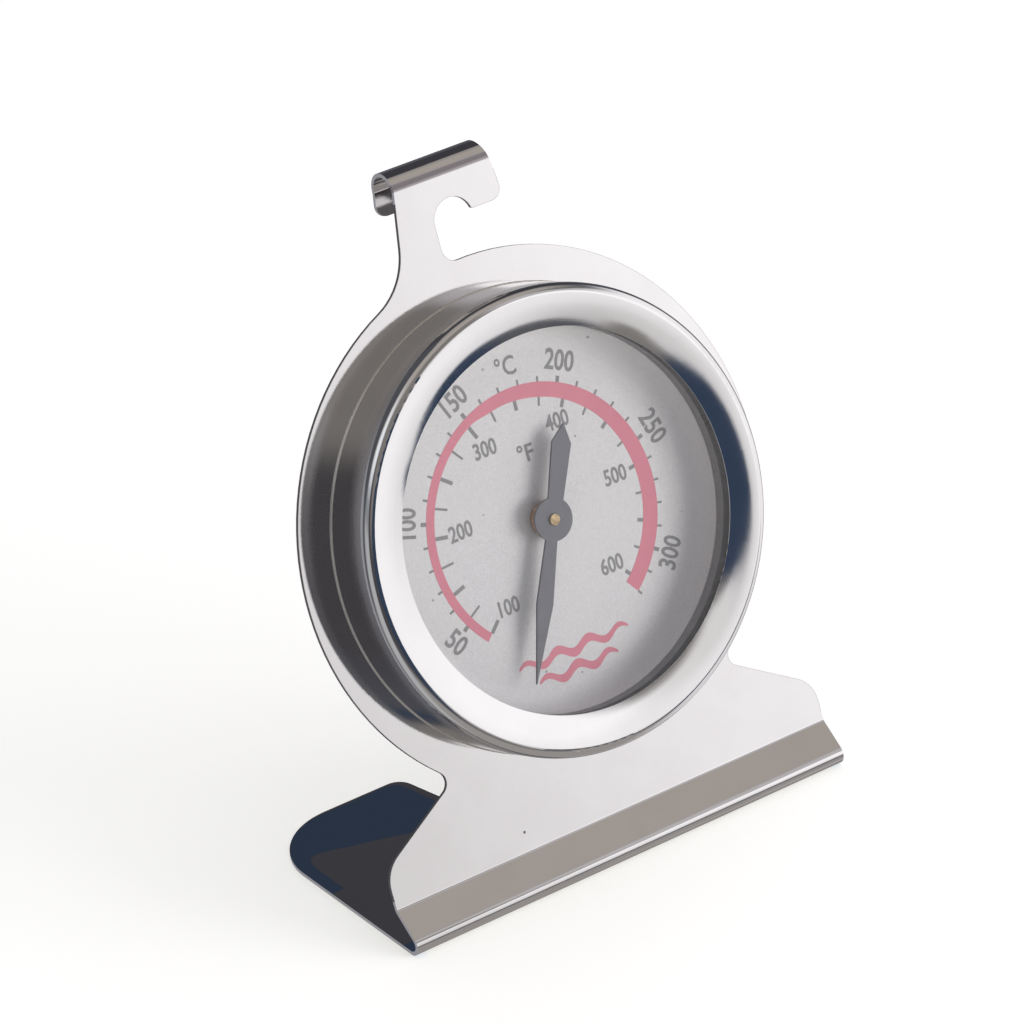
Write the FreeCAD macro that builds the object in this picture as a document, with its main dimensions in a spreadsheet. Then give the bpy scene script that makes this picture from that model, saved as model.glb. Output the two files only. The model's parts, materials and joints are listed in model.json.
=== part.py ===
import FreeCAD, Part
import math
import os
import re
import Sketcher
from FreeCAD import Placement, Rotation, Vector

# Oven thermometer: a bimetal dial thermometer in a round steel case, riveted to a stand bent from one
# steel sheet. +Z is up and the dial faces -Y. The origin lies on the table, under the foot plate.
# Everything in the case is modelled about the dial axis: local z is the distance in front of the
# stand's leaning plate, local y runs up the plate, and the placement leans it all back.

DIMENSIONS = [
    # the bent sheet, seen from the side
    ("origin_back", 12.0), ("sheet", 0.5), ("bend_radius", 1.5), ("strip_lean", 52.9),
    ("strip_length", 4.27), ("plate_lean", 19.6), ("crease_radius", 0.8), ("centre_height", 40.2),
    ("hook_height", 45.4), ("hook_radius", 2.6), ("hook_leg", 3.25),
    # the outline of the leaning plate
    ("disc_radius", 34.7), ("base_half_width", 34.3), ("wing_drop", 34.95), ("wing_inner", 21.4),
    ("wing_corner", 4.5), ("wing_root", 1.6), ("neck_left", 7.4), ("neck_spread", 2.2),
    ("neck_right", 7.7), ("neck_root", 9.0), ("finger_height", 40.2), ("finger_corner", 1.6),
    ("finger_bow", 28.8), ("finger_taper", 1.05),
    ("finger_tip", 0.3), ("seat_height", 39.6), ("seat_radius", 2.93), ("seat_root", 1.9),
    ("leg_corner", 1.4),
    # how far a cutting profile runs past the sheet, and the two gaps left between neighbours
    ("overrun", 4.0), ("clearance", 0.05), ("snug", 0.02),
    # the foot plate
    ("foot_depth", 34.6), ("foot_corner", 10.5), ("recess_mouth", 11.8), ("recess_inner", 8.6),
    ("recess_front", 19.0), ("recess_lip", 2.4), ("recess_corner", 5.0),
    # the case
    ("can_radius", 24.0), ("can_depth", 6.4), ("can_sheet", 0.4), ("can_bend", 1.4),
    ("wall_radius", 29.55), ("wall_height", 7.1), ("vent_radius", 1.5), ("vent_circle", 17.0),
    ("vent_start", 30), ("rivet_circle", 26.4), ("rivet_start", 45), ("rivet_radius", 0.75),
    ("rivet_head", 1.3), ("rivet_crown", 0.9), ("rivet_dome", 0.5),
    ("bezel_radius", 30.0), ("bezel_inside", 29.6), ("bezel_corner", 1.3), ("bezel_top", 8.45),
    ("bezel_lip", 7.95), ("bezel_opening", 24.5), ("bezel_crown", 18.0), ("bezel_chamfer", 0.6),
    ("glass_radius", 29.0), ("glass_top", 7.8), ("glass_bottom", 6.3), ("spacer_inside", 24.6),
    ("rim_height", 4.7),
    # the dial
    ("dial_height", 1.9), ("dial_sheet", 0.4), ("dial_flat", 21.7), ("dial_curve", 2.8),
    ("dial_hole", 2.0), ("support_inside", 28.3),
    # the movement
    ("arbor_radius", 0.6), ("bore_radius", 0.63), ("arbor_top", 4.7), ("arbor_head", 0.72),
    ("collar_radius", 1.0),
    ("bridge_top", 1.0), ("bridge_half_width", 3.0), ("bridge_reach", 10.5), ("bridge_foot", 14.2),
    ("bridge_rivet", 12.4), ("bush_radius", 1.25), ("bush_flange", 1.8), ("bush_lip", 0.25),
    ("washer_radius", 1.5), ("washer_thick", 0.2), ("collet_radius", 1.6), ("collet_low", 4.3),
    ("collet_high", 1.0), ("strip_thick", 0.3), ("strip_low", 4.1), ("strip_high", 1.3),
    ("coil_start", 1.8), ("coil_pitch", 1.25), ("post_radius", 0.7), ("post_top", 1.1),
    # the pointer
    ("boss_radius", 2.3), ("boss_low", 2.5), ("boss_stem", 1.5), ("boss_foot", 1.6),
    ("pointer_low", 4.05), ("pointer_sheet", 0.35), ("hub_radius", 2.8), ("pointer_angle", 204.5),
    ("long_arm", 20.9), ("long_root", 0.72), ("long_wide", 1.2), ("long_belly", 10.8),
    ("short_arm", 12.2), ("short_root", 1.0), ("short_wide", 1.42), ("short_belly", 9.75),
]
COIL_TURNS = 5
VENTS = 6
CASE_RIVETS = 4

doc = FreeCAD.newDocument("oven_thermometer")
dims = doc.addObject("Spreadsheet::Sheet", "Dims")
for row, (alias, size) in enumerate(DIMENSIONS, start=1):
    dims.set("A%d" % row, alias)
    dims.set("B%d" % row, str(size))
    dims.setAlias("B%d" % row, alias)
doc.recompute()

ALIAS = re.compile(r"\b(%s)\b" % "|".join(alias for alias, _ in DIMENSIONS))


def bind(formula):
    """The formula with every dimension's name turned into a reference to its cell."""
    return ALIAS.sub(lambda found: "Dims." + found.group(0), formula)


def value(formula):
    """The formula's present value, in millimetres or degrees."""
    return float(dims.evalExpression(bind(formula)))


# Points of the bent sheet in the side view, as (y, z) formulas measured from the bend's axis foot.
STRIP_FOOT = ("-bend_radius * cos(strip_lean)", "bend_radius + bend_radius * sin(strip_lean)")
CREASE = (
    STRIP_FOOT[0] + " + strip_length * sin(strip_lean)",
    STRIP_FOOT[1] + " + strip_length * cos(strip_lean)",
)


def from_crease(along, behind):
    """A side-view point so far up the leaning plate from the crease and so far behind its face."""
    y = "(%s) + (%s) * sin(plate_lean) + (%s) * cos(plate_lean)" % (CREASE[0], along, behind)
    z = "(%s) + (%s) * cos(plate_lean) - (%s) * sin(plate_lean)" % (CREASE[1], along, behind)
    return y, z


def from_crease_down(along, behind):
    """A side-view point so far down the front strip from the crease and so far behind its face."""
    y = "(%s) - (%s) * sin(strip_lean) + (%s) * cos(strip_lean)" % (CREASE[0], along, behind)
    z = "(%s) - (%s) * cos(strip_lean) - (%s) * sin(strip_lean)" % (CREASE[1], along, behind)
    return y, z


DIAL_CENTRE = from_crease("centre_height", "0")


def place_on_floor(piece):
    """Stand pieces are drawn from the bend's axis: move the origin back under the foot plate."""
    piece.setExpression("Placement.Base.y", bind("-origin_back"))


def place_on_plate(piece):
    """Case pieces are drawn about the dial axis: set them on the leaning plate."""
    piece.Placement = Placement(Vector(), Rotation(Vector(1, 0, 0), 90 - value("plate_lean")))
    piece.setExpression("Placement.Rotation.Angle", bind("(90 - plate_lean) * 1 deg"))
    piece.setExpression("Placement.Base.y", bind("%s - origin_back" % DIAL_CENTRE[0]))
    piece.setExpression("Placement.Base.z", bind(DIAL_CENTRE[1]))


def new_body(name, place):
    body = doc.addObject("PartDesign::Body", name)
    body.Label = name
    place(body)
    return body


def origin_plane(body, role):
    return next(plane for plane in body.Origin.OriginFeatures if plane.Role == role)


def new_sketch(body, name, role, offset=Placement()):
    sketch = body.newObject("Sketcher::SketchObject", name)
    sketch.AttachmentSupport = [(origin_plane(body, role), "")]
    sketch.MapMode = "FlatFace"
    sketch.AttachmentOffset = offset
    return sketch


def arc_between(start, end, radius, side):
    """A minor arc from start to end, bulging to the left (side 1) or right (side -1) of the chord."""
    chord = end - start
    half = chord.Length / 2
    normal = Vector(-chord.y, chord.x, 0).normalize()
    rise = math.sqrt(max(radius * radius - half * half, 0.0))
    centre = (start + end) * 0.5 - normal * (side * rise)
    middle = centre + normal * (side * radius)
    return Part.Arc(start, middle, end)


def loop(sketch, corners):
    """A closed loop of lines and arcs. Each corner is (x, y) or (x, y, radius, side): the latter two
    give the arc that leaves that corner. Every position and radius is bound to the dimensions."""
    points = [Vector(value(corner[0]), value(corner[1]), 0) for corner in corners]
    edges = []
    for number, corner in enumerate(corners):
        start, end = points[number], points[(number + 1) % len(points)]
        if len(corner) == 2:
            edges.append(sketch.addGeometry(Part.LineSegment(start, end)))
            continue
        arc = arc_between(start, end, value(corner[2]), corner[3])
        edges.append(sketch.addGeometry(arc))
    for number, corner in enumerate(corners):
        edge = edges[number]
        forward = len(corner) == 2 or corner[3] == -1
        first = 1 if forward else 2
        for axis, formula in (("DistanceX", corner[0]), ("DistanceY", corner[1])):
            bound(sketch, formula, axis, -1, 1, edge, first)
        following = edges[(number + 1) % len(edges)]
        after = corners[(number + 1) % len(corners)]
        last = 2 if forward else 1
        entry = 1 if len(after) == 2 or after[3] == -1 else 2
        sketch.addConstraint(Sketcher.Constraint("Coincident", edge, last, following, entry))
        if len(corner) == 4:
            bound(sketch, corner[2], "Radius", edge)


def bound(sketch, formula, kind, *places):
    """A dimension in a sketch that follows a formula of the spreadsheet."""
    index = sketch.addConstraint(Sketcher.Constraint(kind, *places, value(formula)))
    sketch.setExpression("Constraints[%d]" % index, bind(formula))


def circle(sketch, x, y, radius):
    """A circle whose centre and radius are bound to the dimensions."""
    shape = Part.Circle(Vector(value(x), value(y), 0), Vector(0, 0, 1), value(radius))
    index = sketch.addGeometry(shape)
    bound(sketch, x, "DistanceX", -1, 1, index, 3)
    bound(sketch, y, "DistanceY", -1, 1, index, 3)
    bound(sketch, radius, "Radius", index)


def pad(body, sketch, name, length, middle=False):
    feature = body.newObject("PartDesign::Pad", name)
    feature.Profile = sketch
    feature.setExpression("Length", bind(length))
    feature.Midplane = middle
    doc.recompute()
    return feature


def pocket(body, sketch, name, length, reverse=False, middle=False):
    """A pocket that must take something away from the solid."""
    before = body.Shape.Volume
    feature = body.newObject("PartDesign::Pocket", name)
    feature.Profile = sketch
    feature.setExpression("Length", bind(length))
    feature.Reversed = reverse
    feature.Midplane = middle
    doc.recompute()
    if body.Shape.Volume > before - 1e-6:
        raise ValueError("%s cuts nothing" % name)
    return feature


def turned(name, corners, place=place_on_plate):
    """A piece turned about the dial axis from a closed profile of (radius, height) corners."""
    body = new_body(name, place)
    sketch = new_sketch(body, name + "_profile", "XZ_Plane")
    loop(sketch, corners)
    doc.recompute()
    feature = body.newObject("PartDesign::Revolution", name + "_turn")
    feature.Profile = sketch
    feature.ReferenceAxis = (sketch, ["V_Axis"])
    feature.Angle = 360
    doc.recompute()
    return body


def ring(name, inside, outside, low, high):
    return turned(name, [(inside, low), (outside, low), (outside, high), (inside, high)])


def round_spots(circle_radius, count, start):
    """Evenly spaced (x, y) formulas round the dial axis, from a starting angle's dimension."""
    return [("%s * %s(%s + %g)" % (circle_radius, "cos", start, turn * 360 / count),
             "%s * %s(%s + %g)" % (circle_radius, "sin", start, turn * 360 / count))
            for turn in range(count)]


def edges_at(shape, spots, reach=0.3):
    """Names of the edges whose middle lies within reach of one of the spots."""
    names = []
    for number, edge in enumerate(shape.Edges, start=1):
        middle = edge.valueAt((edge.FirstParameter + edge.LastParameter) / 2)
        if any(middle.distanceToPoint(spot) < reach for spot in spots):
            names.append("Edge%d" % number)
    return names


def round_edges(body, name, radius, spots):
    """Fillet the edges at the given spots, which must each find one."""
    base = body.Tip
    names = edges_at(base.Shape, spots)
    if len(names) != len(spots):
        raise ValueError("%s finds %d of %d edges" % (name, len(names), len(spots)))
    feature = body.newObject("PartDesign::Fillet", name)
    feature.Base = (base, names)
    feature.setExpression("Radius", bind(radius))
    doc.recompute()


def plate_point(across, up, depth=None):
    """A point of the leaning plate, half way through its sheet unless a depth is given."""
    behind = value("sheet") / 2 if depth is None else depth
    y, z = from_crease("centre_height + (%s)" % up, str(behind))
    return Vector(value(across), value(y), value(z))


# ---------------------------------------------------------------------------- the stand
def side_profile(sketch):
    """The bent sheet from the side: foot, tight front bend, strip, crease, plate, rolled hook."""
    turn = "tan((strip_lean - plate_lean) / 2)"
    rise = "(centre_height + hook_height)"
    loop(sketch, [
        ("foot_depth", "0"),
        ("0", "0", "bend_radius", 1),
        STRIP_FOOT,
        from_crease_down("crease_radius * %s" % turn, "0") + ("crease_radius", -1),
        from_crease("crease_radius * %s" % turn, "0"),
        from_crease(rise, "0") + ("hook_radius", 1),
        from_crease(rise + " + hook_radius", "hook_radius") + ("hook_radius", 1),
        from_crease(rise, "2 * hook_radius"),
        from_crease(rise + " - hook_leg", "2 * hook_radius"),
        from_crease(rise + " - hook_leg", "2 * hook_radius - sheet"),
        from_crease(rise, "2 * hook_radius - sheet") + ("hook_radius - sheet", -1),
        from_crease(rise + " + hook_radius - sheet", "hook_radius") + ("hook_radius - sheet", -1),
        from_crease(rise, "sheet"),
        from_crease("crease_radius * %s" % turn, "sheet") + ("crease_radius + sheet", 1),
        from_crease_down("crease_radius * %s" % turn, "sheet"),
        from_crease_down("strip_length", "sheet") + ("bend_radius - sheet", -1),
        ("0", "sheet"),
        ("foot_depth", "sheet"),
    ])


def plate_sketch(body, name):
    """A sketch in the face of the leaning plate, with its origin on the dial axis."""
    lean = value("plate_lean")
    height = Vector(0, value(DIAL_CENTRE[1]), -value(DIAL_CENTRE[0]))
    offset = Placement(height, Rotation(Vector(1, 0, 0), -lean))
    sketch = new_sketch(body, name, "XZ_Plane", offset)
    sketch.setExpression("AttachmentOffset.Base.y", bind(DIAL_CENTRE[1]))
    sketch.setExpression("AttachmentOffset.Base.z", bind("-(%s)" % DIAL_CENTRE[0]))
    return sketch


def cut_plate_sides(body):
    """Trim the sheet to the disc, the neck above it and the wings below it."""
    sketch = plate_sketch(body, "plate_sides")
    top = "hook_height + hook_radius + overrun"
    beyond = "disc_radius + overrun"
    finger_end = "(neck_right - finger_taper)"
    necks = {
        "-": [("neck_left", top), ("neck_left", "hook_height")],
        "": [(finger_end, top), (finger_end, "hook_height + hook_radius", "finger_bow", 1),
             ("neck_right", "finger_height")],
    }
    for side, root in (("-", "(neck_left + neck_spread)"), ("", "neck_right")):
        bulge = -1 if side else 1
        corners = [
            ("base_half_width", "-centre_height"),
            (beyond, "-centre_height"),
            (beyond, top),
        ] + necks[side] + [
            (root, "sqrt(disc_radius^2 - %s^2)" % root, "disc_radius", bulge),
            ("disc_radius", "0", "disc_radius", bulge),
            ("wing_inner", "-sqrt(disc_radius^2 - wing_inner^2)"),
            ("base_half_width", "-wing_drop"),
        ]
        corners = [("%s(%s)" % (side, corner[0]),) + corner[1:] for corner in corners]
        loop(sketch, corners)
    doc.recompute()
    pocket(body, sketch, "plate_sides_cut", "2 * (2 * hook_radius + overrun)", middle=True)


def cut_notch(body):
    """The side notch for a rack wire: a round seat under the finger, open to the right."""
    sketch = plate_sketch(body, "notch")
    rise = "(finger_height - seat_height)"
    tip = "sqrt(seat_radius^2 - %s^2)" % rise
    beyond = "(neck_right + overrun)"
    loop(sketch, [
        (beyond, "finger_height"),
        (tip, "finger_height", "seat_radius", -1),
        ("0", "seat_height + seat_radius", "seat_radius", -1),
        ("-seat_radius", "seat_height"),
        ("-seat_radius", "sqrt(disc_radius^2 - seat_radius^2)", "disc_radius", 1),
        (beyond, "sqrt(disc_radius^2 - %s^2)" % beyond),
    ])
    doc.recompute()
    pocket(body, sketch, "notch_cut", "2 * overrun", middle=True)


def cut_holes(body):
    """The round hole that the case's can stands in, and its rivets' holes."""
    sketch = plate_sketch(body, "can_hole")
    circle(sketch, "0", "0", "can_radius + clearance")
    for x, y in round_spots("rivet_circle", CASE_RIVETS, "rivet_start"):
        circle(sketch, x, y, "rivet_radius")
    doc.recompute()
    pocket(body, sketch, "can_hole_cut", "2 * overrun", middle=True)


def cut_foot(body):
    """Trim the foot and strip to their width, and cut the recess in the foot's rear edge."""
    sketch = new_sketch(body, "foot_sides", "XY_Plane")
    for side in ("-", ""):
        near, far = side + "base_half_width", "%s(disc_radius + overrun)" % side
        front, rear = "-overrun", "foot_depth + overrun"
        loop(sketch, [(near, front), (far, front), (far, rear), (near, rear)])
    loop(sketch, [
        ("-recess_mouth", "foot_depth"),
        ("-recess_inner", "recess_front"),
        ("recess_inner", "recess_front"),
        ("recess_mouth", "foot_depth"),
        ("recess_mouth", "foot_depth + overrun"),
        ("-recess_mouth", "foot_depth + overrun"),
    ])
    doc.recompute()
    pocket(body, sketch, "foot_sides_cut", CREASE[1] + " + sheet", reverse=True)


def make_stand():
    body = new_body("stand", place_on_floor)
    sketch = new_sketch(body, "side_profile", "YZ_Plane")
    side_profile(sketch)
    doc.recompute()
    pad(body, sketch, "sheet_pad", "2 * disc_radius + overrun / 2", middle=True)
    cut_plate_sides(body)
    cut_foot(body)
    cut_notch(body)
    cut_holes(body)
    wing_root = "-sqrt(disc_radius^2 - wing_inner^2)"
    neck_root = "sqrt(disc_radius^2 - (neck_left + neck_spread)^2)"
    seat_root = "sqrt(disc_radius^2 - seat_radius^2)"
    tip = "sqrt(seat_radius^2 - (finger_height - seat_height)^2)"
    round_edges(body, "wing_roots", "wing_root", [plate_point(s + "wing_inner", wing_root)
                                                  for s in ("-", "")])
    round_edges(body, "wing_corners", "wing_corner", [plate_point(s + "base_half_width", "-wing_drop")
                                                      for s in ("-", "")])
    round_edges(body, "neck_fillet", "neck_root", [plate_point("-(neck_left + neck_spread)",
                                                               neck_root)])
    round_edges(body, "seat_fillet", "seat_root", [plate_point("-seat_radius", seat_root)])
    round_edges(body, "finger_corner", "finger_corner", [plate_point("neck_right",
                                                                     "finger_height")])
    round_edges(body, "finger_tip", "finger_tip", [plate_point(tip, "finger_height")])
    leg = value("2 * hook_radius - sheet / 2")
    drop = "hook_leg / (hook_height - sqrt(disc_radius^2 - (neck_left + neck_spread)^2))"
    bow = "finger_bow - sqrt(finger_bow^2 - (hook_height - hook_leg - finger_height)^2)"
    round_edges(body, "leg_corners", "leg_corner", [
        plate_point(across, "hook_height - hook_leg", leg)
        for across in ("-(neck_left + neck_spread * %s)" % drop, "neck_right - (%s)" % bow)])
    middle = value("sheet") / 2
    rear, front = value("foot_depth"), value("recess_front")
    round_edges(body, "foot_corners", "foot_corner", [
        Vector(s * value("base_half_width"), rear, middle) for s in (-1, 1)])
    round_edges(body, "recess_lips", "recess_lip", [
        Vector(s * value("recess_mouth"), rear, middle) for s in (-1, 1)])
    round_edges(body, "recess_corners", "recess_corner", [
        Vector(s * value("recess_inner"), front, middle) for s in (-1, 1)])
    return body


# ---------------------------------------------------------------------------- the case
def make_case_cup():
    """A drawn cup with a step: its wide wall stands on the plate, its can goes through it."""
    inner_can = "can_radius - can_sheet"
    body = turned("case_cup", [
        ("bush_radius", "-can_depth"),
        ("can_radius - can_bend", "-can_depth", "can_bend", -1),
        ("can_radius", "-can_depth + can_bend"),
        ("can_radius", "0"),
        ("wall_radius", "0"),
        ("wall_radius", "wall_height"),
        ("wall_radius - can_sheet", "wall_height"),
        ("wall_radius - can_sheet", "can_sheet"),
        (inner_can, "can_sheet"),
        (inner_can, "-can_depth + can_bend", "can_bend - can_sheet", 1),
        ("can_radius - can_bend", "-can_depth + can_sheet"),
        ("bush_radius", "-can_depth + can_sheet"),
    ])
    holes = new_sketch(body, "can_holes", "XY_Plane")
    for x, y in round_spots("rivet_circle", CASE_RIVETS, "rivet_start"):
        circle(holes, x, y, "rivet_radius")
    doc.recompute()
    pocket(body, holes, "rivet_holes_cut", "4 * can_sheet", middle=True)
    back = new_sketch(body, "back_holes", "XY_Plane")
    for x, y in round_spots("vent_circle", VENTS, "vent_start"):
        circle(back, x, y, "vent_radius")
    for side in ("-", ""):
        circle(back, side + "bridge_rivet", "0", "rivet_radius")
    doc.recompute()
    pocket(body, back, "back_holes_cut", "can_depth + can_sheet")


def cylinder(name, x, y, radius, low, high, taper=None):
    """An upright cylinder, or a cone with its own top radius, between two heights."""
    kind = "Part::Cylinder" if taper is None else "Part::Cone"
    shape = doc.addObject(kind, name)
    if taper is None:
        shape.setExpression("Radius", bind(radius))
    else:
        shape.setExpression("Radius1", bind(radius))
        shape.setExpression("Radius2", bind(taper))
    shape.setExpression("Height", bind("(%s) - (%s)" % (high, low)))
    for axis, formula in (("x", x), ("y", y), ("z", low)):
        shape.setExpression("Placement.Base." + axis, bind(formula))
    return shape


def make_rivets(name, spots, low, high):
    """Rivets through the layers between two heights, with a low head on each side."""
    rivets = []
    for number, (x, y) in enumerate(spots, start=1):
        stem = "%s_%d" % (name, number)
        rivet = doc.addObject("Part::MultiFuse", stem)
        rivet.Shapes = [
            cylinder(stem + "_shank", x, y, "rivet_radius - snug", low, high),
            cylinder(stem + "_front", x, y, "rivet_head", high, high + " + rivet_dome",
                     "rivet_crown"),
            cylinder(stem + "_rear", x, y, "rivet_crown", low + " - rivet_dome", low,
                     "rivet_head"),
        ]
        rivets.append(rivet)
    group = doc.addObject("Part::Compound", name)
    group.Label = name
    group.Links = rivets
    place_on_plate(group)
    doc.recompute()


def make_case():
    make_case_cup()
    spots = round_spots("rivet_circle", CASE_RIVETS, "rivet_start")
    make_rivets("case_rivets", spots, "-sheet", "can_sheet")
    turned("bezel_ring", [
        ("bezel_inside", "clearance"),
        ("bezel_radius", "clearance"),
        ("bezel_radius", "bezel_top - bezel_corner", "bezel_corner", -1),
        ("bezel_radius - bezel_corner", "bezel_top", "bezel_crown", -1),
        ("bezel_opening", "bezel_lip"),
        ("bezel_opening", "glass_top"),
        ("glass_radius", "glass_top"),
        ("bezel_inside", "glass_top - bezel_chamfer"),
    ])
    ring("glass_lens", "0", "glass_radius", "glass_bottom", "glass_top")
    ring("spacer_ring", "spacer_inside", "glass_radius", "rim_height", "glass_bottom")
    ring("dial_support_ring", "support_inside", "glass_radius", "can_sheet",
         "rim_height - dial_sheet")


def make_dial():
    """A shallow pan: flat where it is printed, its edge curving forward to a clamped flange."""
    outer_curve = "(dial_curve + dial_sheet)"
    under = "sqrt(%s^2 - dial_sheet^2)" % outer_curve
    turned("dial_plate", [
        ("dial_hole", "dial_height - dial_sheet"),
        ("dial_flat", "dial_height - dial_sheet", outer_curve, -1),
        ("dial_flat + " + under, "rim_height - dial_sheet"),
        ("glass_radius", "rim_height - dial_sheet"),
        ("glass_radius", "rim_height"),
        ("dial_flat + dial_curve", "rim_height", "dial_curve", 1),
        ("dial_flat", "dial_height"),
        ("dial_hole", "dial_height"),
    ])


# ---------------------------------------------------------------------------- the movement
def make_bridge():
    """A strap bent over the coil: its feet on the can's back, its top just behind the dial."""
    body = new_body("movement_bridge", place_on_plate)
    sketch = new_sketch(body, "bridge_side", "XZ_Plane")
    floor = "-can_depth + can_sheet"
    inner = "(bridge_reach - can_sheet)"
    loop(sketch, [
        ("-bridge_foot", floor),
        ("-" + inner, floor),
        ("-" + inner, "bridge_top - can_sheet"),
        (inner, "bridge_top - can_sheet"),
        (inner, floor),
        ("bridge_foot", floor),
        ("bridge_foot", floor + " + can_sheet"),
        ("bridge_reach", floor + " + can_sheet"),
        ("bridge_reach", "bridge_top"),
        ("-bridge_reach", "bridge_top"),
        ("-bridge_reach", floor + " + can_sheet"),
        ("-bridge_foot", floor + " + can_sheet"),
    ])
    doc.recompute()
    pad(body, sketch, "bridge_pad", "2 * bridge_half_width", middle=True)
    holes = new_sketch(body, "bridge_holes", "XY_Plane")
    circle(holes, "0", "0", "bush_radius")
    for side in ("-", ""):
        circle(holes, side + "bridge_rivet", "0", "rivet_radius")
    doc.recompute()
    pocket(body, holes, "bridge_holes_cut", "3 * can_depth", middle=True)
    spots = [(side + "bridge_rivet", "0") for side in ("-", "")]
    make_rivets("bridge_rivets", spots, "-can_depth", "2 * can_sheet - can_depth")


def make_bushes():
    """Flanged brass bushes in the bridge and in the can's back, each with a thrust washer."""
    turned("front_bush", [
        ("bore_radius", "bridge_top - can_sheet - bush_lip"),
        ("bush_radius", "bridge_top - can_sheet - bush_lip"),
        ("bush_radius", "bridge_top"),
        ("bush_flange", "bridge_top"),
        ("bush_flange", "bridge_top + bush_lip"),
        ("bore_radius", "bridge_top + bush_lip"),
    ])
    front = "bridge_top + bush_lip"
    ring("front_washer", "bore_radius", "washer_radius", front, front + " + washer_thick")
    floor = "-can_depth + can_sheet"
    turned("rear_bush", [
        ("bore_radius", "-can_depth - bush_lip"),
        ("bush_radius", "-can_depth - bush_lip"),
        ("bush_radius", floor),
        ("bush_flange", floor),
        ("bush_flange", floor + " + bush_lip"),
        ("bore_radius", floor + " + bush_lip"),
    ])
    rear = floor + " + bush_lip"
    ring("rear_washer", "bore_radius", "washer_radius", rear, rear + " + washer_thick")


def make_arbor():
    """The shaft from the rear bush to the pointer, with a collar under the coil's collet."""
    shoulder = "-can_depth + can_sheet + bush_lip + washer_thick + clearance"
    pointer_top = "pointer_low + pointer_sheet"
    turned("arbor", [
        ("0", "-can_depth - bush_lip / 2"),
        ("arbor_radius", "-can_depth - bush_lip / 2"),
        ("arbor_radius", shoulder),
        ("collar_radius", shoulder),
        ("collar_radius", "-collet_low"),
        ("arbor_radius", "-collet_low"),
        ("arbor_radius", pointer_top),
        ("arbor_head", pointer_top),
        ("arbor_head", "arbor_top"),
        ("0", "arbor_top"),
    ])
    ring("coil_collet", "arbor_radius", "collet_radius", "-collet_low", "-collet_high")


def coil_side(offset):
    """One face of the spiral strip, as half-circle arcs that grow by half the pitch each time."""
    step = value("coil_pitch") / 2
    low = -value("strip_low")
    arcs = []
    for half_turn in range(2 * COIL_TURNS):
        radius = value("coil_start") + half_turn * step + offset
        right = half_turn % 2 == 0
        centre = Vector(0, 0 if right else -step, low)
        reach = Vector(0, -radius if right else radius, 0)
        bulge = Vector(radius if right else -radius, 0, 0)
        arcs.append(Part.Arc(centre + reach, centre + bulge, centre - reach).toShape())
    return arcs


def make_coil():
    """The flat bimetal spiral, its inner end at the collet and its outer end at the post."""
    half = value("strip_thick") / 2
    outer, inner = coil_side(half), coil_side(-half)
    caps = [
        Part.makeLine(outer[0].Vertexes[0].Point, inner[0].Vertexes[0].Point),
        Part.makeLine(outer[-1].Vertexes[-1].Point, inner[-1].Vertexes[-1].Point),
    ]
    outline = Part.Wire(Part.__sortEdges__(outer + inner + caps))
    strip = Part.Face(outline).extrude(Vector(0, 0, value("strip_low - strip_high")))
    coil = doc.addObject("Part::Feature", "bimetal_coil")
    coil.Label = "bimetal_coil"
    coil.Shape = strip
    place_on_plate(coil)
    reach = "coil_start + %d * coil_pitch + strip_thick / 2 + post_radius + snug" % COIL_TURNS
    upright = cylinder("upright_post", "0", "-(%s)" % reach, "post_radius",
                       "-can_depth + can_sheet", "-post_top")
    post = doc.addObject("Part::Compound", "anchor_post")
    post.Label = "anchor_post"
    post.Links = [upright]
    place_on_plate(post)
    doc.recompute()


def make_pointer():
    """A flat pointer: a long indicating arm, a round hub and a short arrow-shaped tail."""
    body = new_body("pointer", place_on_plate)

    def layer(name):
        turn = Rotation(Vector(0, 0, 1), -value("pointer_angle"))
        sketch = new_sketch(body, name, "XY_Plane",
                            Placement(Vector(0, 0, value("pointer_low")), turn))
        sketch.setExpression("AttachmentOffset.Base.z", bind("pointer_low"))
        return sketch

    arms = layer("pointer_arms")
    loop(arms, [
        ("-long_root", "0"),
        ("-long_wide", "long_belly"),
        ("0", "long_arm"),
        ("long_wide", "long_belly"),
        ("long_root", "0"),
        ("short_root", "0"),
        ("short_wide", "-short_belly"),
        ("0", "-short_arm"),
        ("-short_wide", "-short_belly"),
        ("-short_root", "0"),
    ])
    doc.recompute()
    pad(body, arms, "arms_pad", "pointer_sheet")
    hub = layer("pointer_hub")
    circle(hub, "0", "0", "hub_radius")
    doc.recompute()
    pad(body, hub, "hub_pad", "pointer_sheet")
    hole = layer("pointer_hole")
    circle(hole, "0", "0", "arbor_radius")
    doc.recompute()
    pocket(body, hole, "pointer_hole_cut", "4 * pointer_sheet", middle=True)
    turned("pointer_boss", [
        ("arbor_radius", "boss_foot"),
        ("boss_stem", "boss_foot"),
        ("boss_stem", "boss_low"),
        ("boss_radius", "boss_low"),
        ("boss_radius", "pointer_low"),
        ("arbor_radius", "pointer_low"),
    ])


NODES = [
    "stand", "case_cup", "case_rivets", "bezel_ring", "glass_lens", "spacer_ring",
    "dial_support_ring", "dial_plate", "movement_bridge", "bridge_rivets", "front_bush",
    "front_washer", "rear_bush", "rear_washer", "arbor", "coil_collet", "bimetal_coil",
    "anchor_post", "pointer", "pointer_boss",
]


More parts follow.
